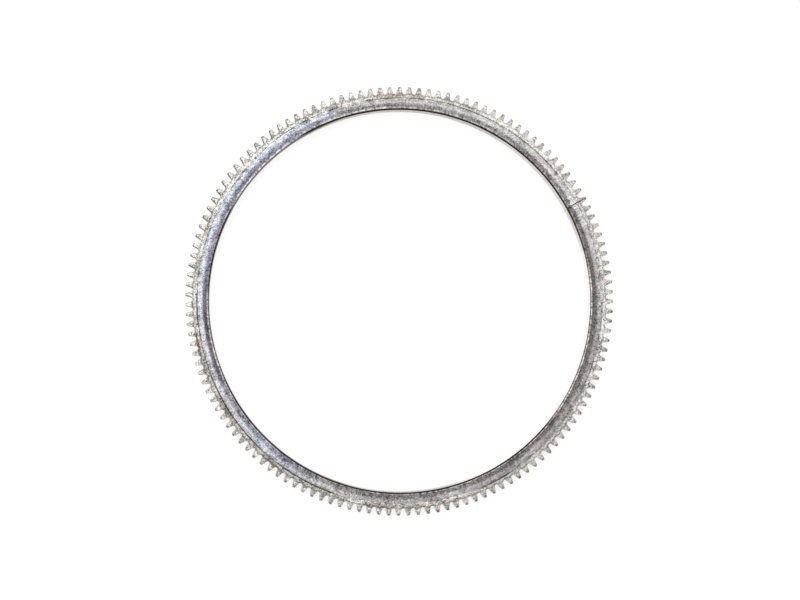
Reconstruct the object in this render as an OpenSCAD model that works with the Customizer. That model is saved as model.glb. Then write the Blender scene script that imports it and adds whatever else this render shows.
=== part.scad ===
// Flywheel ring gear. A steel bar is bent to a ring, butt welded, turned on its faces and in the bore,
// and hobbed with starter teeth round its rim. It is one piece and lies on its plain back face.
// The origin is the centre of the back face, +Z is the ring's axis and points to the front face,
// and +X runs through the tooth that the weld seam crosses.

/* [Teeth] */
// Module of the teeth: pitch diameter over the number of teeth
tooth_module = 2.1167; // [2.1:0.0001:2.25]
// Pressure angle of the involute flanks
pressure_angle = 14.5; // [14.5:0.5:20]
// Height of a tooth above the pitch circle, in modules
addendum = 1.0; // [0.8:0.05:1.1]
// Depth of a tooth gap below the pitch circle, in modules
dedendum = 1.25; // [1.1:0.05:1.35]
// Play that is taken off each tooth at the pitch circle
backlash = 0.25; // [0:0.01:0.4]

/* [Ring] */
// Width of the ring along its axis
ring_w = 11; // [8:0.5:16]
// Bore that is shrunk onto the flywheel
bore_d = 259; // [250:0.5:280]
// Thickness of the rim under the teeth, which comes out at the nearest whole number of teeth
rim_t = 10.7; // [9:0.1:13]

/* [Front face] */
// Flat land between the foot of the teeth and the turned groove
root_land = 2.6; // [2:0.1:4]
// Width of the turned groove
groove_w = 0.5; // [0.3:0.05:0.8]
// Depth of the groove below the shoulders of the crowned band
groove_depth = 0.35; // [0.2:0.05:0.6]
// Rise of the crowned band above its shoulders
crown_rise = 0.5; // [0.2:0.05:0.8]
// Flat lip between the crowned band and the bore chamfer
lip_w = 0.9; // [0.5:0.1:1.5]

/* [Edges] */
// Chamfer where the bore meets the front face
front_chamfer = 1.0; // [0.4:0.1:1.5]
// Chamfer where the bore meets the back face
back_chamfer = 0.5; // [0.2:0.1:1]
// Edge break round the tips of the teeth, front and back
tip_break = 0.4; // [0.2:0.05:0.6]
// Depth of the bevel round the front end of each tooth gap
end_bevel = 0.6; // [0.3:0.05:0.9]
// Slope of that bevel against the ring's axis
end_bevel_angle = 35; // [20:1:40]

/* [Weld seam] */
// Width of the fine open line that the butt weld leaves in the front face
seam_w = 0.35; // [0.2:0.05:0.6]
// Depth of that line below the front face
seam_depth = 0.8; // [0.6:0.05:1.2]
// Length of the line, inwards from its outer end
seam_len = 8.6; // [6:0.1:11]
// Distance from the tip of the seam's tooth to the outer end of the line
seam_tip_gap = 1.4; // [0.5:0.1:2]
// Diameter of the nick where the weld leaves the bore edge
nick_d = 1.4; // [0.8:0.1:2]

/* [Hidden] */
// Facets of the large circles and of the small ones
ring_fn = 360;
foot_fn = 48;
// Straight steps that follow each involute flank
flank_steps = 3;
// How far a cutter reaches past the surface that it cuts
past = 0.25;

// The rim carries as many teeth as its thickness asks: 135 on this ring
bore_r = bore_d / 2;
teeth = round(2 * (bore_r + rim_t) / tooth_module + 2 * dedendum);

// Radii of the teeth
pitch_r = tooth_module * teeth / 2;
tip_r = pitch_r + addendum * tooth_module;
root_r = pitch_r - dedendum * tooth_module;
base_r = pitch_r * cos(pressure_angle);
half_pitch = 180 / teeth;

// Radii and heights across the front face, from the teeth inwards
land_in_r = root_r - root_land;
crown_out_r = land_in_r - groove_w;
lip_in_r = bore_r + front_chamfer;
crown_in_r = lip_in_r + lip_w;
shoulder_z = ring_w - crown_rise;
groove_z = shoulder_z - groove_depth;
crown_w = crown_out_r - crown_in_r;
crown_mid_r = (crown_out_r + crown_in_r) / 2;
crown_arc_r = (crown_w * crown_w / 4 + crown_rise * crown_rise) / (2 * crown_rise);

// Involute of a pressure angle, in degrees
function involute(a) = tan(a) * 180 / PI - a;

// Pressure angle of a flank where it crosses a radius
function flank_angle(r) = acos(min(1, base_r / r));

// Half the angle that one tooth takes up at a radius
function half_tooth(r) =
    half_pitch / 2 - backlash / (2 * pitch_r) * 180 / PI
    + involute(pressure_angle) - involute(flank_angle(r));

// Half the width of a tooth gap at a radius
function half_gap(r) = r * sin(half_pitch - half_tooth(r));

// Point of a gap's flank at a radius: x from the gap's middle line, y from the ring's axis
function flank_point(r) = [half_gap(r), sqrt(r * r - half_gap(r) * half_gap(r))];

// Lean of a flank against the gap's middle line at a radius
function flank_lean(r) = flank_angle(r) + half_pitch - half_tooth(r);

// The foot of a gap is one full round. It is a hair wider than the flanks, so that they cross it cleanly.
foot_swell = 1.02;
foot_guess = root_r + half_gap(root_r + half_gap(root_r));
foot_r = foot_swell * half_gap(foot_guess) * cos(flank_lean(foot_guess));
foot_y = root_r + foot_r;

// A flank from the middle of the foot round to just past the tip of the tooth
flank = [for (i = [0:flank_steps]) flank_point(foot_y + (tip_r + past - foot_y) * i / flank_steps)];
flank_rise = flank[flank_steps] - flank[0];
flank_len = norm(flank_rise);
bevel_slope = tan(end_bevel_angle);

// Section of the turned blank, from the bore to the tips of the teeth
module blank_section() {
    polygon([
        [bore_r, back_chamfer], [bore_r + back_chamfer, 0],
        [tip_r - tip_break, 0], [tip_r, tip_break],
        [tip_r, ring_w - tip_break], [tip_r - tip_break, ring_w],
        [land_in_r, ring_w], [land_in_r - groove_w / 2, groove_z], [crown_out_r, shoulder_z],
        [lip_in_r, shoulder_z], [bore_r, shoulder_z - front_chamfer]
    ]);
    intersection() {
        translate([crown_mid_r, ring_w - crown_arc_r]) circle(r = crown_arc_r, $fn = ring_fn);
        translate([crown_in_r, shoulder_z - past]) square([crown_w, crown_rise + 2 * past]);
    }
}

// Outline between the flanks of two neighbouring teeth
module gap_outline() {
    polygon(concat(
        [for (i = [flank_steps:-1:0]) flank[i]],
        [for (p = flank) [-p[0], p[1]]]));
}

// Cutter that bevels the front end of one flank
module flank_bevel() {
    translate([flank[0][0], flank[0][1], 0])
        rotate([90, 0, -atan(flank_rise[0] / flank_rise[1])])
        translate([0, 0, -flank_len - past])
        linear_extrude(height = flank_len + 2 * past)
        polygon([
            [-past, ring_w - end_bevel - past / bevel_slope],
            [(end_bevel + past) * bevel_slope, ring_w + past],
            [-past, ring_w + past]]);
}

// One tooth gap as the hob leaves it, with the bevel round its front end, on the +Y axis
module tooth_gap() {
    translate([0, 0, -past]) linear_extrude(height = ring_w + 2 * past) gap_outline();
    translate([0, foot_y, -past]) cylinder(r = foot_r, h = ring_w + 2 * past, $fn = foot_fn);
    translate([0, foot_y, ring_w - end_bevel])
        cylinder(r1 = foot_r, r2 = foot_r + (end_bevel + past) * bevel_slope, h = end_bevel + past, $fn = foot_fn);
    flank_bevel();
    mirror([1, 0, 0]) flank_bevel();
}

// Open line and nick that the butt weld leaves in the front face
module weld_seam() {
    translate([tip_r - seam_tip_gap - seam_len, -seam_w / 2, ring_w - seam_depth])
        cube([seam_len, seam_w, seam_depth + past]);
    translate([bore_r, 0, shoulder_z - front_chamfer])
        cylinder(d = nick_d, h = front_chamfer + crown_rise + past, $fn = foot_fn);
}

module ring_gear() {
    color("lightgray")
    difference() {
        rotate_extrude($fn = ring_fn) blank_section();
        for (k = [0:teeth - 1])
            rotate([0, 0, (2 * k + 1) * half_pitch - 90]) union() { tooth_gap(); }
        weld_seam();
    }
}

ring_gear();
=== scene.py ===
"""Flywheel ring gear: the dressed ring, its steel finish, the studio and the camera.

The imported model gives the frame: metres, origin at the centre of the plain back face, +Z along the
ring's axis to the front face and +X through the tooth that the weld seam crosses. Sizes in the
classes below are millimetres, as a drawing of the ring gives them, unless a line says otherwise.
"""

import logging
import math
from dataclasses import dataclass, field
from enum import Enum

import bmesh
import bpy
import numpy as np
from mathutils import Matrix, Vector, noise

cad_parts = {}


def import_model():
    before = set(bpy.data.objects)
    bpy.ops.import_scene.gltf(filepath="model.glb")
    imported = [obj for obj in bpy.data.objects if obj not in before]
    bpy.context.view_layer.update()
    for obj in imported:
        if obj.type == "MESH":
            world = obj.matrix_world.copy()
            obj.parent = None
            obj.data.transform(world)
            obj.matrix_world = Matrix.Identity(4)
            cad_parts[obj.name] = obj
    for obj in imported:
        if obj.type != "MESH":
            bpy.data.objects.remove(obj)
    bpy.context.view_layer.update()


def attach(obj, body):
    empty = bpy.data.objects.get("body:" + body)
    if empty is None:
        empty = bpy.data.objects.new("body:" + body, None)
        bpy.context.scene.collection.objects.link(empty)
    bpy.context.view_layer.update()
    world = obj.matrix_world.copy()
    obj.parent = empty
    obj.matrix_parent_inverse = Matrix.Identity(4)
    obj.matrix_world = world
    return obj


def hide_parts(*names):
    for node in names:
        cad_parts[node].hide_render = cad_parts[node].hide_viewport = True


log = logging.getLogger("ring_gear")

MM = 0.001

Colour = tuple[float, float, float]


def paint(red: int, green: int, blue: int) -> Colour:
    """Turns a colour as a screen shows it into the linear one that a shader takes.

    Args:
        red: Red, from 0 to 255.
        green: Green, from 0 to 255.
        blue: Blue, from 0 to 255.

    Returns:
        The linear colour.
    """
    def linear(level: int) -> float:
        share = level / 255
        return share / 12.92 if share <= 0.04045 else ((share + 0.055) / 1.055) ** 2.4

    return linear(red), linear(green), linear(blue)


@dataclass(frozen=True)
class ToothSizes:
    """Sizes of the hobbed teeth."""

    count: int = 135
    module: float = 2.1167
    pressure_angle: float = math.radians(14.5)
    addendum: float = 1.0
    dedendum: float = 1.25
    backlash: float = 0.25
    tip_corner: float = 0.42

    @property
    def pitch_r(self) -> float:
        """Radius of the pitch circle."""
        return self.module * self.count / 2

    @property
    def tip_r(self) -> float:
        """Radius over the tips of the teeth."""
        return self.pitch_r + self.addendum * self.module

    @property
    def root_r(self) -> float:
        """Radius at the bottom of the tooth gaps."""
        return self.pitch_r - self.dedendum * self.module

    @property
    def half_pitch(self) -> float:
        """Half the angle from one tooth to the next."""
        return math.pi / self.count

    def flank_angle(self, radius: float) -> float:
        """Pressure angle of a flank where it crosses a radius."""
        return math.acos(min(1.0, self.pitch_r * math.cos(self.pressure_angle) / radius))

    def half_tooth(self, radius: float) -> float:
        """Half the angle that one tooth takes up at a radius.

        Args:
            radius: Distance from the ring's axis.

        Returns:
            The angle in radians.
        """
        at_pitch = self.half_pitch / 2 - self.backlash / (2 * self.pitch_r)
        lean, here = self.pressure_angle, self.flank_angle(radius)
        return at_pitch + (math.tan(lean) - lean) - (math.tan(here) - here)


@dataclass(frozen=True)
class RingSizes:
    """Sizes of the turned ring that carries the teeth."""

    width: float = 11.0
    bore_r: float = 129.5
    root_land: float = 2.6
    groove_w: float = 0.5
    groove_depth: float = 0.35
    crown_rise: float = 0.5
    lip_w: float = 0.9
    front_chamfer: float = 1.0
    back_chamfer: float = 0.5
    tip_break: float = 0.4
    end_bevel: float = 0.6
    end_bevel_angle: float = math.radians(35)
    back_deburr: float = 0.1
    edge_round: float = 0.1

    @property
    def shoulder_z(self) -> float:
        """Height of the shoulders on both sides of the crowned band."""
        return self.width - self.crown_rise


@dataclass(frozen=True)
class Wear:
    """How far the real ring strays from its drawing."""

    seed: int = 7
    tooth_shift: float = 0.04
    bevel_share: float = 0.25
    wave: float = 0.035
    wave_length: float = 11.0
    dimple: float = 0.012
    dimple_length: float = 2.2
    groove_wander: float = 0.25


@dataclass(frozen=True)
class WeldSeam:
    """The fine open line and the nick that the butt weld leaves in the front face."""

    inner_r: float = 135.0
    outer_r: float = 143.6
    half_width: float = 0.2
    depth: float = 0.55
    nick_reach: float = 0.75
    nick_depth: float = 0.55
    nick_outer_r: float = 132.6


class ToothOutline:
    """Half the outline of a tooth, from the middle of its gap to the middle of its tip."""

    FOOT_STEPS = 4
    FLANK_STEPS = 4
    CORNER_STEPS = 2

    def __init__(self, teeth: ToothSizes) -> None:
        """Works out the points and the normals that point out of the steel.

        Args:
            teeth: Sizes of the teeth.
        """
        self.teeth = teeth
        steps = self._foot() + self._flank() + self._tip()
        self.points = np.array([p for p, _ in steps])
        self.normals = np.array([n for _, n in steps])

    def _foot(self) -> list[tuple[tuple[float, float], tuple[float, float]]]:
        """Full round of the gap, from its bottom to the foot of the flank."""
        t = self.teeth

        def half_gap(r: float) -> float:
            return r * math.sin(t.half_pitch - t.half_tooth(r))

        guess = t.root_r + half_gap(t.root_r + half_gap(t.root_r))
        lean = t.flank_angle(guess) + t.half_pitch - t.half_tooth(guess)
        radius = half_gap(guess) * math.cos(lean)
        centre = t.root_r + radius
        steps = []
        for i in range(self.FOOT_STEPS + 1):
            swing = (math.pi / 2 - lean) * i / self.FOOT_STEPS
            across, along = -math.sin(swing), -math.cos(swing)
            out = (-self._turned(across, along)[0], -self._turned(across, along)[1])
            steps.append((self._turned(radius * across, centre + radius * along), out))
        return steps

    def _turned(self, across: float, along: float) -> tuple[float, float]:
        """Turns a point or vector from the gap's middle line to the tooth's."""
        c, s = math.cos(self.teeth.half_pitch), math.sin(self.teeth.half_pitch)
        return across * c + along * s, along * c - across * s

    def _flank(self) -> list[tuple[tuple[float, float], tuple[float, float]]]:
        """Involute, between the round of the gap and the worn corner of the tip."""
        t = self.teeth
        low = math.hypot(*self._foot()[-1][0])
        high = t.tip_r - t.tip_corner
        steps = []
        for i in range(1, self.FLANK_STEPS):
            r = low + (high - low) * i / self.FLANK_STEPS
            half, lean = t.half_tooth(r), t.flank_angle(r) - t.half_tooth(r)
            steps.append(((r * math.sin(half), r * math.cos(half)), (math.cos(lean), math.sin(lean))))
        return steps

    def _tip(self) -> list[tuple[tuple[float, float], tuple[float, float]]]:
        """Worn corner of the tip, then the middle of the tip."""
        t = self.teeth
        r = t.tip_r - t.tip_corner
        lean = t.flank_angle(r) - t.half_tooth(r)
        x = r * math.sin(t.half_tooth(r)) - t.tip_corner / math.cos(lean)
        steps = []
        for i in range(self.CORNER_STEPS + 1):
            turn = lean + (math.pi / 2 - lean) * i / self.CORNER_STEPS
            n = (math.cos(turn), math.sin(turn))
            steps.append(((x + t.tip_corner * n[0], r + t.tip_corner * n[1]), n))
        return steps + [((0.0, t.tip_r), (0.0, 1.0))]


class MeshBin:
    """Collects patches of points and joins them to one mesh wherever they meet."""

    def __init__(self) -> None:
        """Starts empty."""
        self.points: list[np.ndarray] = []
        self.faces: list[np.ndarray] = []
        self.filled = 0

    def add(self, grid: np.ndarray, flip: bool = False) -> None:
        """Adds a patch of quads.

        Args:
            grid: Points of the patch, as rows by columns by 3.
            flip: Whether the faces turn the other way.
        """
        rows, cols = grid.shape[:2]
        index = self.filled + np.arange(rows * cols).reshape(rows, cols)
        quads = np.stack([index[:-1, :-1], index[:-1, 1:], index[1:, 1:], index[1:, :-1]], axis=-1)
        quads = quads.reshape(-1, 4)
        self.faces.append(quads[:, ::-1] if flip else quads)
        self.points.append(grid.reshape(-1, 3))
        self.filled += rows * cols

    def merged(self) -> tuple[np.ndarray, list[list[int]]]:
        """Joins points that lie within a micrometre.

        Returns:
            The points and the faces, each face a list of point numbers.
        """
        points = np.concatenate(self.points)
        keys, first, where = np.unique(
            np.round(points * 1000).astype(np.int64), axis=0, return_index=True, return_inverse=True
        )
        faces = where.reshape(-1)[np.concatenate(self.faces)]
        kept = []
        for face in faces.tolist():
            corners = [p for i, p in enumerate(face) if p != face[i - 1]]
            if len(corners) > 2:
                kept.append(corners)
        return points[first], kept


@dataclass
class GearRing:
    """The one-piece ring gear: a turned ring with hobbed teeth, a bevel round each gap and a weld seam."""

    teeth: ToothSizes = field(default_factory=ToothSizes)
    ring: RingSizes = field(default_factory=RingSizes)
    wear: Wear = field(default_factory=Wear)
    seam: WeldSeam = field(default_factory=WeldSeam)
    name: str = "dressed_ring_gear"
    face_columns: int = 6
    crown_steps: int = 10

    def __post_init__(self) -> None:
        """Works out the tooth outline and each tooth's own wear."""
        self.outline = ToothOutline(self.teeth)
        draw = np.random.default_rng(self.wear.seed)
        self.gap_draws = draw.uniform(-1, 1, (self.teeth.count, 3))
        self.tooth_draws = draw.uniform(-1, 1, (self.teeth.count, 3))

    @property
    def land_in_r(self) -> float:
        """Radius of the inner edge of the land under the teeth."""
        return self.teeth.root_r - self.ring.root_land

    @property
    def crown_out_r(self) -> float:
        """Radius of the outer edge of the crowned band."""
        return self.land_in_r - self.ring.groove_w

    @property
    def lip_in_r(self) -> float:
        """Radius of the inner edge of the lip."""
        return self.ring.bore_r + self.ring.front_chamfer

    @property
    def crown_in_r(self) -> float:
        """Radius of the inner edge of the crowned band."""
        return self.lip_in_r + self.ring.lip_w

    def build(self) -> bpy.types.Object:
        """Builds the mesh.

        Returns:
            The ring as one object in metres.
        """
        bin_ = MeshBin()
        for tooth in range(self.teeth.count):
            self._tooth_patches(bin_, tooth)
        points, faces = bin_.merged()
        points = self._worn(points)
        mesh = bpy.data.meshes.new(self.name)
        mesh.from_pydata((points * MM).tolist(), [], faces)
        mesh.validate()
        self._turn_outwards(mesh)
        mesh.shade_smooth()
        mesh.set_sharp_from_angle(angle=math.radians(32))
        piece = bpy.data.objects.new(self.name, mesh)
        bpy.context.collection.objects.link(piece)
        return piece

    def _turn_outwards(self, mesh: bpy.types.Mesh) -> None:
        """Turns every face of the closed mesh so that its front looks out of the steel.

        Args:
            mesh: The ring's mesh.
        """
        draft = bmesh.new()
        draft.from_mesh(mesh)
        bmesh.ops.recalc_face_normals(draft, faces=draft.faces[:])
        draft.to_mesh(mesh)
        draft.free()

    def _side(self, tooth: int, mirror: bool) -> np.ndarray:
        """Points of one half of a tooth's side.

        Args:
            tooth: Number of the tooth, counted from the seam's.
            mirror: Whether it is the half on the clockwise side.

        Returns:
            The points, as levels by outline points by 3.
        """
        o, r = self.outline, self.ring
        n = len(o.points)
        near_tip = np.clip((np.arange(n) - (n - 4)) / 2, 0, 1)
        gap = (tooth - 1 if mirror else tooth) % self.teeth.count
        share = np.linspace(0, 1, n)
        draws = self.gap_draws[gap] * (1 - share)[:, None] + self.tooth_draws[tooth] * share[:, None]
        scale = 1 + self.wear.bevel_share * draws[:, 0]
        front_in = scale * ((1 - near_tip) * r.end_bevel * math.tan(r.end_bevel_angle) + near_tip * r.tip_break)
        front_in = np.minimum(front_in, self.teeth.tip_corner)
        front_deep = scale * ((1 - near_tip) * r.end_bevel + near_tip * r.tip_break)
        back_in = (1 - near_tip) * r.back_deburr + near_tip * r.tip_break
        e = r.edge_round
        zero, w = np.zeros(n), r.width
        levels = [
            (zero, back_in + 0.6 * e),
            (0.6 * e + zero, back_in - 0.3 * e),
            (back_in + 0.6 * e, zero),
            (w / 2 + zero, zero),
            (w - front_deep - 0.7 * e, zero),
            (w - front_deep + 0.5 * e, 0.5 * e * front_in / front_deep),
            (w - 0.6 * e + zero, front_in - 0.3 * e),
            (w + zero, front_in + 0.6 * e),
        ]
        shift = self.wear.tooth_shift * self.tooth_draws[tooth, 1] * np.clip(3 * share, 0, 1)
        layers = []
        for z, inset in levels:
            p = o.points - o.normals * inset[:, None]
            x = (-p[:, 0] if mirror else p[:, 0]) + shift
            layers.append(np.stack([x, p[:, 1], z], axis=-1))
        return self._placed(np.array(layers), tooth)

    def _placed(self, points: np.ndarray, tooth: int) -> np.ndarray:
        """Turns points from a tooth's own frame to its place on the ring.

        Args:
            points: Points with x across the tooth, anticlockwise, and y from the ring's axis.
            tooth: Number of the tooth.

        Returns:
            The points in the ring's frame.
        """
        a = 2 * self.teeth.half_pitch * tooth
        along = np.array([math.cos(a), math.sin(a)])
        across = np.array([-math.sin(a), math.cos(a)])
        flat = points[..., 1:2] * along + points[..., 0:1] * across
        return np.concatenate([flat, points[..., 2:3]], axis=-1)

    def _tooth_patches(self, bin_: MeshBin, tooth: int) -> None:
        """Adds the patches of one pitch of the ring.

        Args:
            bin_: Where the patches go.
            tooth: Number of the tooth.
        """
        left, right = self._side(tooth, False), self._side(tooth, True)
        bin_.add(left)
        bin_.add(right, flip=True)
        foot = self.outline.FOOT_STEPS
        corner = foot + self.outline.FLANK_STEPS
        contours = []
        for level, flip in ((-1, False), (0, True)):
            l, r = left[level], right[level]
            rungs = [self._rung(r[i], l[i], tooth) for i in range(foot, corner + 1)]
            tip = np.concatenate([r[corner:], l[corner:-1][::-1]])
            bin_.add(np.array(rungs + [tip]), flip=flip)
            contours.append(np.concatenate([r[:foot], rungs[0], l[:foot][::-1]]))
        self._ring_patch(bin_, tooth, contours[0], contours[1])

    def _rung(self, a: np.ndarray, b: np.ndarray, tooth: int) -> np.ndarray:
        """Points across the end of a tooth, closer together beside the weld seam.

        Args:
            a: Point on one flank.
            b: Point on the other.
            tooth: Number of the tooth.

        Returns:
            The points from a to b.
        """
        share = np.linspace(0, 1, self.face_columns + 1)
        if tooth == 0:
            near = self.seam.half_width / np.linalg.norm(b - a)
            share[self.face_columns // 2 - 1] = 0.5 - near
            share[self.face_columns // 2 + 1] = 0.5 + near
        return a + (b - a) * share[:, None]

    def _section(self) -> list[tuple[float, float, float]]:
        """Section of the turned ring, from the front land through the bore to the back face.

        Returns:
            For each step its radius, its height and the share in which it shifts with the groove.
        """
        t, r = self.teeth, self.ring
        e, w, top = r.edge_round, r.width, r.shoulder_z
        land_in, crown_out, lip = self.land_in_r, self.crown_out_r, self.lip_in_r
        bottom = top - r.groove_depth
        mid, half = (crown_out + self.crown_in_r) / 2, (crown_out - self.crown_in_r) / 2
        arc = (half * half + r.crown_rise ** 2) / (2 * r.crown_rise)
        steps = [(t.root_r - 1.2, w, 0), (land_in + 1.0, w, 0.5), (land_in + e, w, 1),
                 (land_in - 0.3 * e, w - e, 1), (land_in - r.groove_w / 2 + 0.4 * e, bottom + 0.5 * e, 1),
                 (land_in - r.groove_w / 2 - 0.4 * e, bottom, 1), (crown_out + 0.5 * e, top - 0.6 * e, 1)]
        for i in range(self.crown_steps + 1):
            x = half * math.cos(math.pi * i / self.crown_steps)
            steps.append((mid + x, w - arc + math.sqrt(arc * arc - x * x), (x + half) / (2 * half)))
        low = top - r.front_chamfer
        steps += [(lip + e, top, 0), (lip - 0.6 * e, top - 0.6 * e, 0),
                  (r.bore_r + 0.6 * e, low + 0.5 * e, 0), (r.bore_r, low - 0.8 * e, 0)]
        steps += [(r.bore_r, r.back_chamfer + (low - r.back_chamfer) * k / 3, 0) for k in (2, 1)]
        steps += [(r.bore_r, r.back_chamfer + 0.8 * e, 0), (r.bore_r + 0.5 * e, r.back_chamfer - 0.4 * e, 0),
                  (r.bore_r + r.back_chamfer - 0.4 * e, 0.4 * e, 0), (r.bore_r + r.back_chamfer + e, 0, 0),
                  (mid - 1, 0, 0), (mid + 3, 0, 0), (t.root_r - 1.2, 0, 0)]
        return steps

    def _ring_patch(self, bin_: MeshBin, tooth: int, front: np.ndarray, back: np.ndarray) -> None:
        """Adds the turned ring behind one tooth.

        Args:
            bin_: Where the patch goes.
            tooth: Number of the tooth.
            front: Points along the foot of the tooth on the front face.
            back: The same on the back face.
        """
        count = len(front)
        share = np.linspace(-1, 1, count)
        angles = share * self.teeth.half_pitch
        if tooth == 0:
            angles = np.sign(share) * np.abs(share) ** 2.2 * self.teeth.half_pitch
        angles = angles + 2 * self.teeth.half_pitch * tooth
        rows = []
        wander = self.wear.groove_wander * np.cos(3 * angles + 0.4) * np.cos(5 * angles - 1.1)
        for radius, z, moved in self._section():
            r = radius + moved * wander
            rows.append(np.stack([r * np.cos(angles), r * np.sin(angles), np.full(count, float(z))], axis=-1))
        grid = np.array([front] + [(front + rows[0]) / 2] + rows + [(back + rows[-1]) / 2] + [back])
        bin_.add(grid, flip=False)

    def _worn(self, points: np.ndarray) -> np.ndarray:
        """Gives the ideal points the waves, dimples and weld seam of the real ring.

        Args:
            points: The points of the mesh.

        Returns:
            The moved points.
        """
        w, s, r = self.wear, self.seam, self.ring
        out = points.copy()
        noise.seed_set(w.seed)
        for i, p in enumerate(points.tolist()):
            v = Vector(p)
            wave = noise.noise_vector(v / w.wave_length) * w.wave
            dimple = noise.noise_vector(v / w.dimple_length) * w.dimple
            out[i] += wave + dimple
        radius = np.hypot(points[:, 0], points[:, 1])
        across = np.abs(points[:, 1])
        on_front = (points[:, 2] > r.shoulder_z - 1.2) & (points[:, 0] > 0)
        line = on_front & (radius > s.inner_r) & (radius < s.outer_r)
        out[line, 2] -= s.depth * np.clip(1 - across[line] / s.half_width, 0, 1)
        nick = on_front & (radius < s.nick_outer_r) & (across < s.nick_reach)
        ease = (1 - (across[nick] / s.nick_reach) ** 2) * np.clip((s.nick_outer_r - radius[nick]) / 1.6, 0, 1)
        out[nick, 2] -= s.nick_depth * ease
        return out


class MarkKind(Enum):
    """What a mark on the steel is made of."""

    RUST = "rust"
    OIL = "oil"
    SOOT = "soot"
    BRIGHT = "bright"


@dataclass(frozen=True)
class Mark:
    """A stain or rubbed patch.

    The angle is in degrees, anticlockwise from the weld seam. The reach is half the mark's length
    along the rim and half its width across it.
    """

    kind: MarkKind
    angle: float
    radius: float
    along: float
    across: float
    strength: float = 0.7


@dataclass(frozen=True)
class Scratch:
    """A fine line across the front face, from one angle and radius to another."""

    angle_a: float
    radius_a: float
    angle_b: float
    radius_b: float
    half_width: float = 0.22
    strength: float = 0.55


@dataclass(frozen=True)
class Stretch:
    """A stretch of the rim with soft ends, in degrees from the weld seam, and its strength."""

    middle: float
    half: float
    soft: float
    strength: float = 1.0


@dataclass(frozen=True)
class Tint:
    """A colour that lies over one band of the face, along some stretches of the rim; most are painted light and shade,
    a few the steel's own colour.
    """

    inner: float
    outer: float
    soft: float
    colour: Colour
    stretches: tuple[Stretch, ...]


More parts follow.
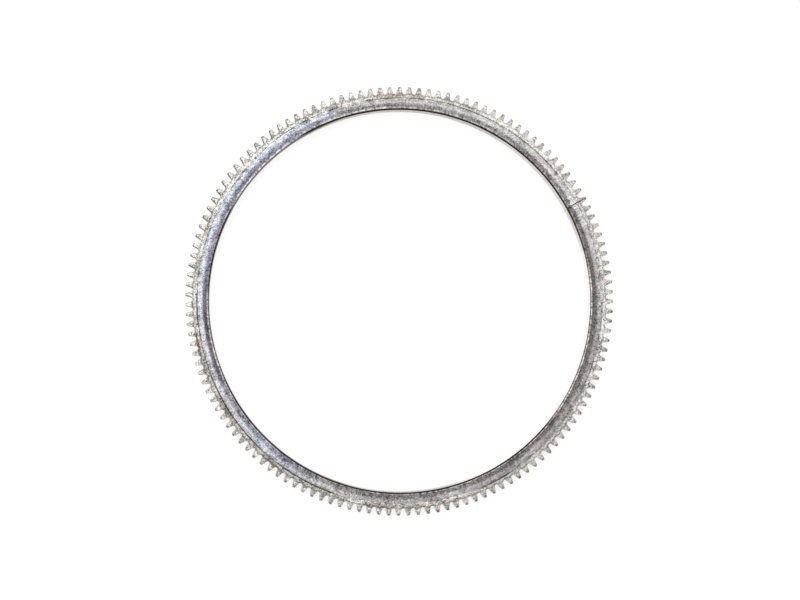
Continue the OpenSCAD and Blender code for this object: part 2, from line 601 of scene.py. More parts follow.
MARKS = (
    Mark(MarkKind.SOOT, -1.0, 131.6, 2.2, 1.6, 0.5),
    Mark(MarkKind.BRIGHT, 0.9, 134.6, 1.6, 2.4, 0.8),
    Mark(MarkKind.BRIGHT, -1.8, 136.2, 1.8, 1.0, 0.45),
    Mark(MarkKind.SOOT, 10.3, 136.7, 1.6, 1.4, 0.6),
    Mark(MarkKind.BRIGHT, 6.2, 132.0, 0.9, 0.7, 0.8),
    Mark(MarkKind.SOOT, -28.5, 135.0, 2.2, 2.4, 0.35),
    Mark(MarkKind.RUST, 57.5, 138.4, 9.0, 2.0, 0.5),
    Mark(MarkKind.RUST, 64.5, 138.6, 13.0, 2.4, 0.65),
    Mark(MarkKind.SOOT, 55.8, 138.0, 1.8, 0.8, 0.5),
    Mark(MarkKind.RUST, 59.7, 135.2, 0.7, 2.4, 0.6),
    Mark(MarkKind.SOOT, 58.0, 144.3, 0.8, 0.7, 0.9),
    Mark(MarkKind.SOOT, 70.0, 137.3, 3.0, 1.3, 0.7),
    Mark(MarkKind.SOOT, 74.5, 139.3, 2.2, 0.9, 0.8),
    Mark(MarkKind.SOOT, 73.2, 134.0, 2.4, 1.2, 0.35),
    Mark(MarkKind.SOOT, 80.0, 137.0, 5.5, 3.2, 0.6),
    Mark(MarkKind.RUST, 81.3, 138.0, 2.6, 2.0, 0.6),
    Mark(MarkKind.OIL, 86.0, 139.2, 4.5, 1.2, 0.5),
    Mark(MarkKind.SOOT, 89.4, 137.0, 3.4, 1.5, 0.8),
    Mark(MarkKind.SOOT, 94.8, 135.0, 2.8, 1.5, 0.5),
    Mark(MarkKind.BRIGHT, 86.5, 135.2, 4.5, 1.2, 0.5),
    Mark(MarkKind.RUST, 80.8, 137.8, 3.0, 2.4, 0.5),
    Mark(MarkKind.SOOT, 77.8, 138.8, 0.8, 1.6, 0.8),
    Mark(MarkKind.SOOT, 82.2, 139.1, 1.6, 0.9, 0.9),
    Mark(MarkKind.SOOT, 84.8, 139.3, 1.2, 0.6, 0.8),
    Mark(MarkKind.SOOT, 82.0, 136.2, 1.4, 1.2, 0.7),
    Mark(MarkKind.SOOT, 88.6, 139.0, 1.0, 0.7, 0.9),
    Mark(MarkKind.SOOT, 91.3, 138.2, 1.8, 0.6, 0.8),
    Mark(MarkKind.SOOT, 128.0, 139.6, 2.2, 0.5, 0.8),
    Mark(MarkKind.SOOT, 134.0, 138.7, 3.2, 0.5, 0.6),
    Mark(MarkKind.SOOT, 106.6, 137.4, 1.0, 1.2, 0.95),
    Mark(MarkKind.SOOT, 114.2, 136.6, 2.8, 0.7, 0.9),
    Mark(MarkKind.OIL, 130.5, 139.0, 7.0, 1.7, 0.55),
    Mark(MarkKind.OIL, 140.5, 138.6, 9.0, 1.9, 0.5),
    Mark(MarkKind.SOOT, 143.3, 137.0, 1.6, 2.4, 0.45),
    Mark(MarkKind.RUST, 163.0, 139.5, 12.0, 0.8, 0.95),
    Mark(MarkKind.SOOT, 162.0, 139.7, 8.0, 0.45, 0.7),
    Mark(MarkKind.RUST, 183.5, 138.5, 12.0, 1.1, 0.7),
    Mark(MarkKind.SOOT, 184.0, 137.9, 5.5, 0.6, 0.8),
    Mark(MarkKind.SOOT, 173.5, 132.2, 6.0, 0.9, 0.4),
    Mark(MarkKind.OIL, 202.0, 139.5, 10.5, 0.8, 0.85),
    Mark(MarkKind.OIL, 218.5, 138.4, 20.0, 2.4, 0.3),
    Mark(MarkKind.RUST, 234.0, 138.9, 12.5, 1.9, 0.7),
    Mark(MarkKind.OIL, 244.5, 138.8, 8.0, 2.2, 0.55),
    Mark(MarkKind.SOOT, 256.2, 138.9, 2.4, 0.8, 1.0),
    Mark(MarkKind.RUST, 262.0, 139.2, 6.0, 0.5, 0.7),
    Mark(MarkKind.SOOT, 267.3, 137.0, 3.6, 0.6, 0.65),
    Mark(MarkKind.SOOT, 280.0, 136.8, 5.0, 0.5, 0.6),
    Mark(MarkKind.RUST, 294.1, 141.8, 0.9, 0.9, 0.75),
    Mark(MarkKind.SOOT, 148.8, 142.9, 0.7, 0.7, 0.8),
    Mark(MarkKind.SOOT, 187.0, 143.8, 0.9, 0.8, 0.8),
)

SCRATCHES = (
    Scratch(18.6, 142.4, 20.3, 137.4),
    Scratch(76.6, 144.4, 78.5, 135.6, 0.25, 0.8),
    Scratch(125.0, 135.8, 127.2, 132.2, 0.15, 0.4),
    Scratch(252.0, 136.0, 255.5, 132.5, 0.15, 0.4),
    Scratch(320.0, 137.5, 320.6, 132.0, 0.18, 0.35),
)


# Darker and paler copies of the steel, laid along stretches of the rim as painted shade and painted light.
DARK_STEEL = paint(88, 83, 82)
PALE_STEEL = paint(235, 233, 230)

# Most of these tints are painted light and shade. The bore's chamfer, the groove and the lower teeth are darkened where
# shade falls, and the lip, crown, land and teeth are made paler along some stretches of the rim and darker along
# others, as the light falls. A few, such as the greener land, are the steel's own colour.
TINTS_AND_PAINTED_LIGHT = (
    Tint(129.9, 130.6, 0.12, paint(205, 200, 198), (Stretch(-42, 24, 5, 0.85), Stretch(-16, 8, 5, 0.1))),
    Tint(129.95, 130.9, 0.12, paint(205, 200, 198), (Stretch(162, 13, 4, 0.85),)),
    Tint(129.7, 130.7, 0.12, paint(236, 232, 232), (Stretch(107, 13, 4),)),
    Tint(130.0, 130.55, 0.1, paint(20, 18, 18), (Stretch(242, 42, 6, 0.75), Stretch(79, 13, 4, 0.95))),
    Tint(129.3, 129.9, 0.1, paint(20, 18, 17), (Stretch(107, 13, 4, 0.9),)),
    Tint(130.6, 131.8, 0.15, DARK_STEEL, (
        Stretch(-55, 45, 8, 0.75), Stretch(7, 20, 6, 0.4), Stretch(151, 20, 6, 0.5),
        Stretch(108, 12, 4, 0.3))),
    Tint(130.5, 130.9, 0.15, PALE_STEEL, (Stretch(274, 14, 5, 0.3),)),
    Tint(131.0, 131.9, 0.2, PALE_STEEL, (Stretch(78, 14, 6, 0.25), Stretch(46, 14, 6, 0.05))),
    Tint(130.8, 132.4, 0.2, paint(66, 60, 59), (Stretch(-50, 34, 6, 0.78),)),
    Tint(131.4, 133.4, 0.5, DARK_STEEL, (Stretch(-56, 42, 12, 0.66), Stretch(158, 10, 6, 0.4))),
    Tint(131.2, 133.6, 0.5, PALE_STEEL, (
        Stretch(202, 24, 8, 0.1), Stretch(46, 16, 6, 0.15), Stretch(79, 12, 5, 0.15), Stretch(16, 15, 6, 0.08), Stretch(116, 24, 6, 0.15))),
    Tint(133.2, 134.4, 0.4, DARK_STEEL, (Stretch(-32, 28, 8, 0.55),)),
    Tint(133.6, 137.2, 0.6, PALE_STEEL, (
        Stretch(16, 22, 12, 0.3), Stretch(-12, 16, 8, 0.25), Stretch(166, 26, 10, 0.2), Stretch(212, 12, 6, 0.15))),
    Tint(133.6, 137.2, 0.6, DARK_STEEL, (
        Stretch(78, 14, 8, 0.25), Stretch(-56, 14, 8, 0.2), Stretch(124, 20, 8, 0.16))),
    Tint(136.6, 137.8, 0.2, PALE_STEEL, (
        Stretch(93, 32, 6, 0.55), Stretch(-26, 8, 5, 0.2), Stretch(-10, 8, 4, 0.4), Stretch(-56, 14, 5, 0.3))),
    Tint(136.9, 137.8, 0.2, paint(66, 60, 54), (
        Stretch(19, 9, 3, 0.35), Stretch(39, 5, 3, 0.4), Stretch(153, 4, 2, 0.5), Stretch(161, 13, 4, 0.35),
        Stretch(187, 12, 4, 0.8), Stretch(212, 9, 4, 0.8), Stretch(305, 20, 6, 0.3))),
    Tint(137.2, 138.3, 0.25, paint(66, 60, 54), (
        Stretch(268, 5, 2, 0.6), Stretch(279, 9, 4, 0.35), Stretch(303, 12, 4, 0.3), Stretch(331, 12, 4, 0.2),
        Stretch(350, 8, 4, 0.25), Stretch(134, 13, 4, 0.15))),
    Tint(137.9, 140.6, 0.3, PALE_STEEL, (Stretch(16, 18, 8, 0.4), Stretch(-34, 24, 8, 0.25), Stretch(216, 8, 6, 0.15))),
    Tint(137.6, 139.4, 0.3, paint(186, 193, 192), (Stretch(120, 34, 8, 0.55),)),
    Tint(137.9, 140.6, 0.3, DARK_STEEL, (Stretch(186, 22, 8, 0.25), Stretch(156, 14, 8, 0.12), Stretch(212, 12, 8, 0.1))),
    Tint(142.8, 146.0, 0.9, DARK_STEEL, (Stretch(282, 42, 10, 0.45), Stretch(205, 30, 10, 0.25))),
    Tint(141.0, 146.0, 0.6, PALE_STEEL, (Stretch(158, 18, 8, 0.3), Stretch(46, 15, 6, 0.15))),
    Tint(141.0, 143.8, 0.6, PALE_STEEL, (Stretch(130, 16, 6, 0.3),)),
    Tint(141.0, 146.0, 0.6, DARK_STEEL, (Stretch(118, 18, 8, 0.12),)),
    Tint(131.0, 137.2, 0.6, paint(150, 132, 126), (Stretch(-62, 30, 10, 0.08),)),
)


def on_ring(angle: float, radius: float) -> tuple[float, float]:
    """Point of the ring at an angle in degrees and a radius."""
    return radius * math.cos(math.radians(angle)), radius * math.sin(math.radians(angle))


class NodePen:
    """Writes shader nodes, one call a node."""

    def __init__(self, tree: bpy.types.NodeTree) -> None:
        """Takes the node tree to write in.

        Args:
            tree: The material's or world's node tree.
        """
        self.tree = tree

    def add(self, kind: str, values: dict, **props: object) -> bpy.types.Node:
        """Adds a node.

        Args:
            kind: The node's type name without its ShaderNode prefix.
            values: Input name or number to a plain value or a socket.
            props: Properties of the node.

        Returns:
            The node.
        """
        node = self.tree.nodes.new("ShaderNode" + kind)
        for key, value in props.items():
            setattr(node, key, value)
        for key, value in values.items():
            if isinstance(value, bpy.types.NodeSocket):
                self.tree.links.new(value, node.inputs[key])
            else:
                node.inputs[key].default_value = value
        return node

    def math(self, operation: str, a: object, b: object = 0.0, clamp: bool = False) -> bpy.types.NodeSocket:
        """One sum of two numbers."""
        return self.add("Math", {0: a, 1: b}, operation=operation, use_clamp=clamp).outputs[0]

    def product(self, *factors: object) -> bpy.types.NodeSocket:
        """All the factors multiplied."""
        result = factors[0]
        for factor in factors[1:]:
            result = self.math("MULTIPLY", result, factor)
        return result

    def vector(self, operation: str, a: object, b: object = (0, 0, 0), share: object = 1.0) -> bpy.types.NodeSocket:
        """One sum of two vectors."""
        node = self.add("VectorMath", {0: a, 1: b, 3: share}, operation=operation)
        return node.outputs["Value" if operation in ("DOT_PRODUCT", "LENGTH") else "Vector"]

    def step(self, value: object, low: float, high: float) -> bpy.types.NodeSocket:
        """Smooth step from 0 at low to 1 at high; low may be the larger."""
        node = self.add("MapRange", {"Value": value, "From Min": low, "From Max": high},
                        interpolation_type="SMOOTHSTEP", clamp=True)
        return node.outputs["Result"]

    def blend(self, share: object, a: object, b: object, mode: str = "MIX") -> bpy.types.NodeSocket:
        """Blends two colours, from a at 0 to b at 1."""
        node = self.tree.nodes.new("ShaderNodeMix")
        node.data_type, node.blend_type = "RGBA", mode
        for index, value in ((0, share), (6, a), (7, b)):
            if isinstance(value, bpy.types.NodeSocket):
                self.tree.links.new(value, node.inputs[index])
            else:
                node.inputs[index].default_value = (*value, 1) if isinstance(value, tuple) else value
        return node.outputs[2]

    def noise(self, vector: object, scale: float, detail: float = 2.0) -> bpy.types.NodeSocket:
        """Cloud noise about one half."""
        return self.add("TexNoise", {"Vector": vector, "Scale": scale, "Detail": detail}).outputs["Fac"]

    def ramp(self, value: object, low: float, high: float,
             stops: list[tuple[float, Colour]]) -> bpy.types.NodeSocket:
        """Colours along a length.

        Args:
            value: Where on the length.
            low: Its start.
            high: Its end.
            stops: Places in rising order and the linear colour at each.

        Returns:
            The colour.
        """
        share = self.add("MapRange", {"Value": value, "From Min": low, "From Max": high}).outputs["Result"]
        node = self.add("ValToRGB", {0: share})
        elements = node.color_ramp.elements
        elements.remove(elements[1])
        elements[0].position = (stops[0][0] - low) / (high - low)
        elements[0].color = (*stops[0][1], 1)
        for place, colour in stops[1:]:
            elements.new((place - low) / (high - low)).color = (*colour, 1)
        return node.outputs["Color"]


class RingPlace:
    """Where on the ring a shaded point lies, and patterns that go by that."""

    def __init__(self, pen: NodePen) -> None:
        """Writes the nodes that the patterns share.

        Args:
            pen: Where the nodes go.
        """
        self.pen = pen
        self.point = pen.vector("SCALE", pen.add("TexCoord", {}).outputs["Object"], share=1 / MM)
        self.flat = pen.vector("MULTIPLY", self.point, (1, 1, 0))
        self.radius = pen.vector("LENGTH", self.flat)
        self.heading = pen.vector("NORMALIZE", self.flat)
        parts = pen.add("SeparateXYZ", {0: self.point})
        self.height = parts.outputs["Z"]
        self.angle = pen.math("ARCTAN2", parts.outputs["Y"], parts.outputs["X"])

    def cloud(self, size: float, detail: float = 2.0) -> bpy.types.NodeSocket:
        """Noise about zero, of a size in millimetres."""
        return self.pen.math("SUBTRACT", self.pen.noise(self.point, 1 / size, detail), 0.5)

    def streaks(self, length: float, width: float) -> bpy.types.NodeSocket:
        """Noise about zero, drawn out along the rim as turning leaves it.

        Args:
            length: Size along the rim, in radians.
            width: Size across the rim, in millimetres.

        Returns:
            The noise.
        """
        turned = self.pen.vector("SCALE", self.heading, share=1 / length)
        lift = self.pen.add("CombineXYZ", {"Z": self.pen.math("MULTIPLY", self.radius, 1 / width)}).outputs[0]
        return self.pen.math("SUBTRACT", self.pen.noise(self.pen.vector("ADD", turned, lift), 1.0, 2), 0.5)

    def band(self, inner: float, outer: float, soft: float = 0.1) -> bpy.types.NodeSocket:
        """Share of 1 between two radii."""
        return self.pen.product(self.pen.step(self.radius, inner - soft, inner + soft),
                                self.pen.step(self.radius, outer + soft, outer - soft))

    def stretches(self, stretches: tuple[Stretch, ...]) -> bpy.types.NodeSocket:
        """Strength of the stretches of the rim, 0 outside them."""
        total: object = 0.0
        for s in stretches:
            toward = self.pen.vector("DOT_PRODUCT", self.heading, (*on_ring(s.middle, 1.0), 0))
            far, near = math.cos(math.radians(s.half + s.soft)), math.cos(math.radians(s.half - s.soft))
            total = self.pen.math("ADD", total, self.pen.product(self.pen.step(toward, far, near), s.strength))
        return total

    def patch(self, spot: object, mark: Mark) -> bpy.types.NodeSocket:
        """Cover of one mark, from 0 to its strength.

        Args:
            spot: Position with the unevenness that makes the outline ragged.
            mark: The mark.

        Returns:
            The cover.
        """
        pen = self.pen
        out = pen.vector("DOT_PRODUCT", spot, (*on_ring(mark.angle, 1 / mark.across), 0))
        out = pen.math("SUBTRACT", out, mark.radius / mark.across)
        side = pen.vector("DOT_PRODUCT", spot, (*on_ring(mark.angle + 90, 1 / mark.along), 0))
        away = pen.vector("LENGTH", pen.add("CombineXYZ", {"X": out, "Y": side}).outputs[0])
        return pen.product(pen.step(away, 1.15, 0.45), mark.strength)

    def line(self, scratch: Scratch) -> bpy.types.NodeSocket:
        """Cover of one scratch, from 0 to its strength."""
        pen = self.pen
        a = Vector((*on_ring(scratch.angle_a, scratch.radius_a), 0))
        b = Vector((*on_ring(scratch.angle_b, scratch.radius_b), 0))
        along = (b - a).normalized()
        aside = Vector((-along.y, along.x, 0))
        run = pen.math("SUBTRACT", pen.vector("DOT_PRODUCT", self.point, tuple(along)), (a + b).dot(along) / 2)
        past = pen.math("MAXIMUM", pen.math("SUBTRACT", pen.math("ABSOLUTE", run), (b - a).length / 2), 0.0)
        off = pen.math("SUBTRACT", pen.vector("DOT_PRODUCT", self.point, tuple(aside)), a.dot(aside))
        away = pen.math("ADD", past, pen.math("ABSOLUTE", off))
        return pen.product(pen.step(away, scratch.half_width * 1.4, scratch.half_width * 0.4), scratch.strength)


@dataclass(frozen=True)
class SteelFinish:
    """Bare turned steel with its tints, stains and scuffs, and painted light and shade, coloured by where on the ring
    it lies.
    """

    tooth: Colour = paint(187, 184, 179)
    tooth_tip: Colour = paint(124, 120, 115)
    tooth_foot: Colour = paint(186, 183, 177)
    # Painted shade: foot_line darkens the land along the bevel at the foot of each gap, scalloped by foot_wave.
    foot_line: Colour = paint(142, 138, 130)
    bevel: Colour = paint(205, 202, 197)
    shaded_bevel: Colour = paint(40, 38, 36)
    side: Colour = paint(238, 236, 232)
    low_side: Colour = paint(176, 173, 168)
    tip_face: Colour = paint(170, 167, 162)
    land: Colour = paint(190, 187, 181)
    # Painted light: the groove is coloured paler than the land to offset the shade of the cut groove.
    groove: Colour = paint(222, 217, 211)
    crown_light: Colour = paint(177, 174, 174)
    crown_dark: Colour = paint(108, 102, 102)
    blue_light: Colour = paint(176, 182, 193)
    blue_dark: Colour = paint(110, 111, 138)
    lip: Colour = paint(166, 160, 157)
    # Painted shade: the bore's front chamfer is coloured near black for the shade it lies in; the scratches take the
    # same dark colour.
    edge: Colour = paint(14, 12, 11)
    nick: Colour = paint(34, 29, 26)
    # wall_top, wall_pale and wall_dark are painted shade and painted light on the bore wall.
    wall_top: Colour = paint(80, 77, 74)
    wall: Colour = paint(198, 193, 187)
    wall_pale: Colour = paint(242, 241, 239)
    wall_dark: Colour = paint(30, 28, 27)
    wall_foot: Colour = paint(158, 122, 110)
    back: Colour = paint(172, 170, 166)
    stains: tuple[tuple[MarkKind, Colour], ...] = (
        (MarkKind.RUST, paint(112, 82, 58)), (MarkKind.OIL, paint(104, 98, 72)),
        (MarkKind.SOOT, paint(62, 60, 62)), (MarkKind.BRIGHT, paint(238, 238, 244)))
    blue: tuple[Stretch, ...] = (Stretch(113, 31, 10), Stretch(162, 18, 8, 0.5), Stretch(198, 12, 8, 0.75))
    shade: tuple[Stretch, ...] = (Stretch(121, 30, 8, 1.0), Stretch(76, 10, 6, 0.3))
    # Stretches of the rim where the bore wall is painted paler and darker: painted light and painted shade.
    pale_wall: tuple[Stretch, ...] = (Stretch(-56, 44, 8), Stretch(12, 16, 6, 0.35))
    dark_wall: tuple[Stretch, ...] = (Stretch(114, 32, 6, 0.95), Stretch(186, 38, 6, 0.65), Stretch(184, 14, 5, 0.25))
    seam_in_r: float = 133.4
    flank_slope: float = 0.25
    # Strength of the painted shade along the shaded flank of each tooth's end.
    outline: float = 0.8
    foot_wave: float = 0.4
    band_lean: float = 0.3
    band_lean_at: float = 46.0
    speckle: float = 3.4
    cloud: float = 1.7
    patches: float = 0.8
    streak: float = 0.9
    drift: float = 0.4
    hue: float = 0.3
    side_grain: float = 0.3
    rough_grain: float = 0.25
    calm: tuple[Stretch, ...] = (Stretch(24, 42, 12, 0.3), Stretch(276, 20, 8, 0.3))
    metallic: float = 0.55
    roughness: float = 0.42

    def build(self, gear: GearRing) -> bpy.types.Material:
        """Makes the material.

        Args:
            gear: The ring, for its sizes.

        Returns:
            The material.
        """
        mat = bpy.data.materials.new("turned_steel")
        mat.use_nodes = True
        shader = mat.node_tree.nodes["Principled BSDF"]
        shader.inputs["Metallic"].default_value = self.metallic
        pen = NodePen(mat.node_tree)
        at = RingPlace(pen)
        colour = self._marks(at, self._front(at, gear))
        grain = pen.vector("SCALE", self._hue(at), share=self._tone(at))
        colour = self._sides(at, pen.vector("MULTIPLY", colour, grain), pen.blend(self.side_grain, (1, 1, 1), grain), gear)
        seam = Scratch(0, gear.seam.outer_r, 0, self.seam_in_r, gear.seam.half_width + 0.1, 0.95)
        nick = Scratch(-0.38, gear.seam.nick_outer_r, -0.1, gear.ring.bore_r, gear.seam.nick_reach, 0.9)
        on_top = pen.step(at.height, gear.ring.shoulder_z - gear.ring.front_chamfer - 0.1, gear.ring.shoulder_z - 0.8)
        for line in (seam, nick):
            colour = pen.blend(pen.product(at.line(line), on_top), colour, self.nick)
        mat.node_tree.links.new(colour, shader.inputs["Base Color"])

        rings = at.streaks(0.2, 0.15)
        gloss = pen.math("ADD", pen.product(at.cloud(1.5), 0.5), self.roughness)
        mat.node_tree.links.new(gloss, shader.inputs["Roughness"])
        relief = pen.math("ADD", pen.product(rings, 0.6), at.cloud(0.7, 3))
        bump = pen.add("Bump", {"Height": relief, "Strength": 0.3, "Distance": 0.00008})
        mat.node_tree.links.new(bump.outputs["Normal"], shader.inputs["Normal"])
        return mat

    def _tone(self, at: RingPlace) -> bpy.types.NodeSocket:
        """Brightness of the steel, as speckle, clouds and turning streaks make it."""
        pen = at.pen
        tone: object = 1.0
        calm = pen.product(at.stretches(self.calm), pen.step(at.radius, 133.0, 134.5))
        rough = pen.math("ADD", pen.step(at.radius, 134.3, 132.8), pen.step(at.radius, 137.0, 138.0))
        grain = pen.math("SUBTRACT", pen.math("ADD", pen.product(rough, self.rough_grain), 1.0), calm)
        for pattern, share in ((pen.product(at.cloud(1.0, 3), grain), self.speckle),
                               (pen.product(at.cloud(3.2), grain), self.cloud),
                               (at.cloud(9.0), self.patches), (at.streaks(0.04, 0.7), self.streak),
                               (at.cloud(25.0), self.drift)):
            tone = pen.math("ADD", tone, pen.product(pattern, share))
        return pen.math("MAXIMUM", tone, 0.2)

    def _hue(self, at: RingPlace) -> bpy.types.NodeSocket:
        """Faint stray colours, as share of the steel's own, where skins of oxide catch the light."""
        pen = at.pen
        stray = pen.add("TexNoise", {"Vector": at.point, "Scale": 0.45, "Detail": 2.0}).outputs["Color"]
        return pen.vector("ADD", pen.vector("SCALE", stray, share=self.hue), (1 - self.hue / 2,) * 3)

    def _front(self, at: RingPlace, gear: GearRing) -> bpy.types.NodeSocket:
        """Colours of the front face, from the tips of the teeth to the bore.

        Args:
            at: Place on the ring.
            gear: The ring.

        Returns:
            The colour.
        """
        pen, t = at.pen, gear.teeth
        ragged = pen.math("ADD", pen.product(at.cloud(4.5), 2.2), pen.product(at.cloud(0.9), 1.4))
        ragged = pen.product(ragged, pen.step(at.radius, gear.crown_in_r - 0.3, gear.crown_in_r + 1.2),
                             pen.math("SUBTRACT", 1.0, pen.product(at.band(136.7, 138.2, 0.3), 0.6)))
        wave = pen.math("COSINE", pen.product(at.angle, float(t.count)))
        wave = pen.product(wave, pen.step(at.radius, t.root_r - 2.0, t.root_r - 1.0), -self.foot_wave)
        lean = pen.vector("DOT_PRODUCT", at.heading, (*on_ring(self.band_lean_at, -self.band_lean), 0))
        lean = pen.product(lean, pen.step(at.radius, gear.crown_in_r + 2.5, gear.crown_in_r + 0.5),
                           pen.step(at.radius, gear.lip_in_r - 0.2, gear.lip_in_r + 0.3))
        across = pen.math("ADD", pen.math("ADD", at.radius, ragged), pen.math("ADD", wave, lean))
        plain = self._bands(pen, across, gear, self.crown_light, self.crown_dark)
        blue = self._bands(pen, across, gear, self.blue_light, self.blue_dark)
        colour = pen.blend(at.stretches(self.blue), plain, blue)
        # The tints are partly the steel's own colour and partly painted light and shade.
        for tint in TINTS_AND_PAINTED_LIGHT:
            place = pen.product(at.band(tint.inner, tint.outer, tint.soft), at.stretches(tint.stretches))
            colour = pen.blend(place, colour, tint.colour)
        # Painted shade: the shaded flank of each tooth's end is darkened in the colour.
        return pen.blend(self._painted_flank_shade(at, gear), colour, self.shaded_bevel)

    def _painted_flank_shade(self, at: RingPlace, gear: GearRing) -> bpy.types.NodeSocket:
        """Cover of the painted shade along the shaded flank of each tooth's end.

        Args:
            at: Place on the ring.
            gear: The ring.

        Returns:
            The cover, from 0 to 1.
        """
        pen, t = at.pen, gear.teeth
        turns = pen.math("ADD", pen.product(at.angle, t.count / (2 * math.pi)), 0.5)
        across = pen.product(pen.math("SUBTRACT", pen.math("FRACT", turns), 0.5), 2 * math.pi * t.pitch_r / t.count)
        narrowing = pen.product(pen.math("SUBTRACT", at.radius, t.pitch_r), self.flank_slope)
        half = pen.math("SUBTRACT", t.half_tooth(t.pitch_r) * t.pitch_r, narrowing)
        inside = pen.math("SUBTRACT", half, across)
        line = pen.product(pen.step(inside, 0.85, 0.35), pen.step(across, 0.1, 0.5))
        return pen.product(line, at.band(t.root_r + 0.4, t.tip_r + 1, 0.3), at.stretches(self.shade), self.outline)

    def _bands(self, pen: NodePen, across: object, gear: GearRing, light: Colour,
               dark: Colour) -> bpy.types.NodeSocket:
        """Colours of the turned bands and the ends of the teeth.

        Args:
            pen: Where the nodes go.
            across: Distance from the axis, uneven where the bands are.
            gear: The ring.
            light: Colour of the outer part of the crown.
            dark: Colour of its inner part.

        Returns:
            The colour.
        """
        t, r, e = gear.teeth, gear.ring, 0.1
        return pen.ramp(across, r.bore_r - 1.0, t.tip_r + 0.5, [
            # From the bore to the lip the ramp paints the front chamfer near black: painted shade.
            (r.bore_r, self.edge), (gear.lip_in_r - 0.2, self.edge), (gear.lip_in_r, self.lip),
            (gear.crown_in_r - 0.35, self.lip), (gear.crown_in_r - 0.1, dark), (gear.crown_in_r + 1.6, dark),
            (gear.crown_in_r + 3.2, light), (gear.crown_out_r - 0.2, light),
            (gear.crown_out_r + 0.05, self.groove), (gear.land_in_r - 0.1, self.groove),
            (gear.land_in_r + 0.2, self.land), (t.root_r - 1.1, self.land), (t.root_r - 0.6, self.foot_line),
            (t.root_r - 0.2, self.foot_line), (t.root_r + 0.5, self.tooth_foot), (t.pitch_r - 0.6, self.tooth),
            (t.tip_r - 1.7, self.tooth), (t.tip_r - 0.9, self.tooth_tip), (t.tip_r, self.tooth_tip)])

    def _sides(self, at: RingPlace, front: object, grain: object, gear: GearRing) -> bpy.types.NodeSocket:
        """Colours of the bore wall, the bevels and sides of the teeth and the back face.

        Args:
            at: Place on the ring.
            front: Colour of the front face.
            grain: Unevenness of the other faces, as share of their colour.
            gear: The ring.

        Returns:
            The colour.
        """
        pen, t, r = at.pen, gear.teeth, gear.ring
        top = r.shoulder_z - r.front_chamfer
        # The bore wall is painted darker at its top, paler along some stretches and darker along others: painted shade
        # and painted light.
        wall = pen.ramp(at.height, 0, top, [
            (0.9, self.wall_foot), (1.6, self.wall), (top - 0.8, self.wall), (top - 0.1, self.wall_top)])
        low_part = pen.product(pen.step(at.height, top - 0.4, top - 1.0), at.stretches(self.pale_wall))
        high_part = pen.product(pen.step(at.height, top - 7.0, top - 5.0), at.stretches(self.dark_wall))
        wall = pen.blend(high_part, pen.blend(low_part, wall, self.wall_pale), self.wall_dark)
        on_wall = pen.product(pen.step(at.height, top + 0.2, top), pen.step(at.radius, r.bore_r + 0.6, r.bore_r + 0.3))
        colour = pen.blend(on_wall, front, pen.vector("MULTIPLY", wall, grain))
        outside = pen.step(at.radius, t.root_r - 1.3, t.root_r - 0.8)
        bevel = pen.step(pen.math("SINE", pen.product(at.angle, float(t.count))), 0.1, 0.5)
        bevel = pen.blend(pen.product(bevel, at.stretches(self.shade)), self.bevel, self.shaded_bevel)
        colour = pen.blend(pen.product(outside, pen.step(at.height, r.width - 0.1, r.width - 0.3)), colour, bevel)
        below = pen.product(outside, pen.step(at.height, r.width - 0.6, r.width - 0.8))
        side = pen.blend(pen.step(at.radius, t.tip_r - 0.5, t.tip_r - 0.3), self.side, self.tip_face)
        side = pen.blend(pen.step(at.height, r.width - 4, 1), side, self.low_side)
        colour = pen.blend(below, colour, pen.vector("MULTIPLY", side, grain))
        on_back = pen.product(pen.step(at.height, 0.35, 0.1), pen.step(at.radius, r.bore_r + 0.2, r.bore_r + 0.6))
        return pen.blend(on_back, colour, pen.vector("MULTIPLY", self.back, grain))

    def _marks(self, at: RingPlace, colour: object) -> bpy.types.NodeSocket:
        """Lays the stains, rubbed patches and scratches over the colour.

        Args:
            at: Place on the ring.
            colour: Colour of the steel.

        Returns:
            The colour with its marks.
        """
        pen = at.pen
        ragged = pen.add("TexNoise", {"Vector": at.point, "Scale": 0.55, "Detail": 2.0}).outputs["Color"]
        ragged = pen.vector("SCALE", pen.vector("SUBTRACT", ragged, (0.5, 0.5, 0.5)), share=2.6)
        spot = pen.vector("ADD", at.point, ragged)
        broken = pen.math("ADD", pen.product(pen.step(at.cloud(0.8, 3), -0.1, 0.08), 0.55), 0.45)
        for kind, stain in self.stains:
            cover: object = 0.0
            for mark in (m for m in MARKS if m.kind is kind):
                cover = pen.math("MAXIMUM", cover, at.patch(spot, mark))
            colour = pen.blend(pen.product(cover, broken), colour, stain)
        for scratch in SCRATCHES:
            colour = pen.blend(at.line(scratch), colour, self.edge)
        return colour


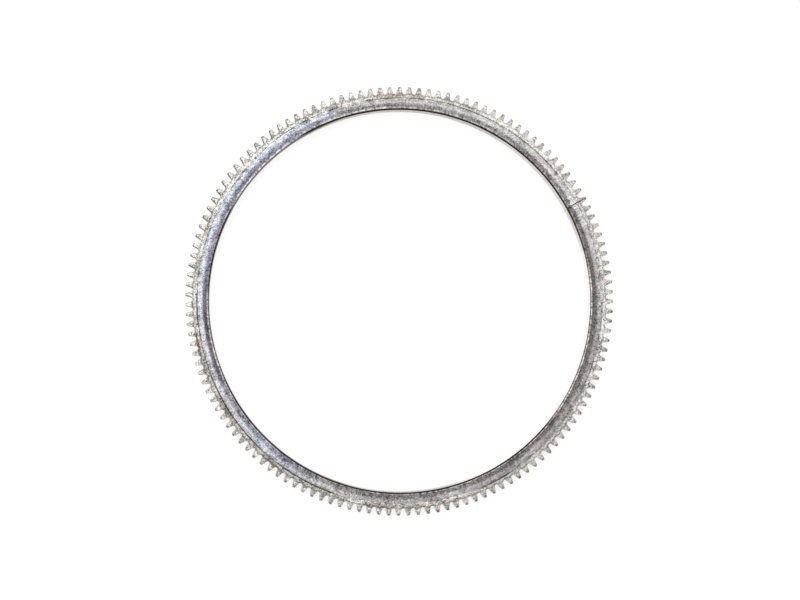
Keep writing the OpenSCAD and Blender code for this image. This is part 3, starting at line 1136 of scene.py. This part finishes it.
@dataclass(frozen=True)
class View:
    """Where the photographer stood, read from how the teeth crowd round the rim."""

    distance: float = 1020.0
    tilt: float = math.radians(4.9)
    heading: float = math.radians(21.2 + 180 - 29.2)
    seam_angle: float = math.radians(29.2)
    sensor: float = 36.0
    frame_width: float = 800.0
    ring_px: float = 214.65
    centre_px: tuple[float, float] = (401.67, 300.43)
    frame_centre_px: tuple[float, float] = (400.0, 300.0)

    def place(self, teeth: ToothSizes, ring: RingSizes) -> bpy.types.Object:
        """Makes the camera.

        Args:
            teeth: Sizes of the teeth, for the ring's radius.
            ring: Sizes of the ring, for its width.

        Returns:
            The camera object.
        """
        data = bpy.data.cameras.new("camera")
        cam = bpy.data.objects.new("camera", data)
        bpy.context.collection.objects.link(cam)
        focal_px = self.ring_px * self.distance / teeth.tip_r
        data.sensor_width = self.sensor
        data.lens = focal_px * self.sensor / self.frame_width
        data.shift_x = (self.frame_centre_px[0] - self.centre_px[0]) / self.frame_width
        data.shift_y = (self.centre_px[1] - self.frame_centre_px[1]) / self.frame_width
        data.clip_start, data.clip_end = 0.01, 60
        target = Vector((0, 0, ring.width * MM))
        lean, head = self.tilt, self.heading
        back = Vector((math.sin(lean) * math.cos(head), math.sin(lean) * math.sin(head), math.cos(lean)))
        up_angle = math.pi / 2 - self.seam_angle
        up = Vector((math.cos(up_angle), math.sin(up_angle), 0))
        right = up.cross(back).normalized()
        true_up = back.cross(right).normalized()
        turn = Matrix((right, true_up, back)).transposed().to_4x4()
        cam.matrix_world = Matrix.Translation(target + back * self.distance * MM) @ turn
        bpy.context.scene.camera = cam
        return cam


@dataclass(frozen=True)
class Studio:
    """A pale light table under a white room that is brightest where the key light stands."""

    floor_half: float = 12.0
    floor_drop: float = 0.1
    floor_colour: Colour = paint(135, 135, 135)
    floor_glow: float = 0.8
    sky_dim: float = 0.55
    sky_bright: float = 1.0
    key_heading: float = math.radians(92)
    key_slope: float = 0.75
    lamp_power: float = 7.0
    lamp_size: float = 0.9
    lamp_reach: float = 0.7
    lamp_height: float = 1.5

    def build(self) -> None:
        """Makes the floor, the sky and the lamp."""
        self._floor()
        self._sky()
        lamp = bpy.data.lights.new("soft_box", "AREA")
        lamp.size = self.lamp_size
        lamp.energy = self.lamp_power
        box = bpy.data.objects.new("soft_box", lamp)
        out = self.lamp_reach
        box.location = (out * math.cos(self.key_heading), out * math.sin(self.key_heading), self.lamp_height)
        box.rotation_euler = (-Vector(box.location)).to_track_quat("-Z", "Y").to_euler()
        bpy.context.collection.objects.link(box)
        bpy.context.scene.view_settings.view_transform = "Standard"

    def _floor(self) -> None:
        """Makes the light table, just under the ring."""
        h = self.floor_half
        mesh = bpy.data.meshes.new("floor")
        mesh.from_pydata([(-h, -h, 0), (h, -h, 0), (h, h, 0), (-h, h, 0)], [], [(0, 1, 2, 3)])
        floor = bpy.data.objects.new("floor", mesh)
        floor.location.z = -self.floor_drop * MM
        bpy.context.collection.objects.link(floor)
        mat = bpy.data.materials.new("pale_floor")
        mat.use_nodes = True
        shader = mat.node_tree.nodes["Principled BSDF"]
        shader.inputs["Base Color"].default_value = (*self.floor_colour, 1)
        shader.inputs["Roughness"].default_value = 0.9
        shader.inputs["Emission Color"].default_value = (1, 1, 1, 1)
        shader.inputs["Emission Strength"].default_value = self.floor_glow
        mesh.materials.append(mat)

    def _sky(self) -> None:
        """Makes the white room, brighter on the key light's side."""
        world = bpy.data.worlds.new("white_room")
        world.use_nodes = True
        pen = NodePen(world.node_tree)
        sky = world.node_tree.nodes["Background"]
        sky.inputs["Color"].default_value = (1, 1, 1, 1)
        side = (math.cos(self.key_heading), math.sin(self.key_heading), self.key_slope)
        toward = pen.vector("DOT_PRODUCT", pen.add("TexCoord", {}).outputs["Generated"], side)
        light = pen.math("ADD", pen.product(pen.step(toward, -0.7, 0.9), self.sky_bright - self.sky_dim), self.sky_dim)
        world.node_tree.links.new(light, sky.inputs["Strength"])
        bpy.context.scene.world = world


def main() -> None:
    """Builds the ring, its finish, the studio and the camera."""
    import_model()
    gear = GearRing()
    View().place(gear.teeth, gear.ring)
    Studio().build()
    piece = gear.build()
    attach(piece, "root")
    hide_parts("ring_gear")
    log.info("%s: %d faces", piece.name, len(piece.data.polygons))
    piece.data.materials.append(SteelFinish().build(gear))


if __name__ == "__main__":
    logging.basicConfig(level=logging.INFO)
    main()
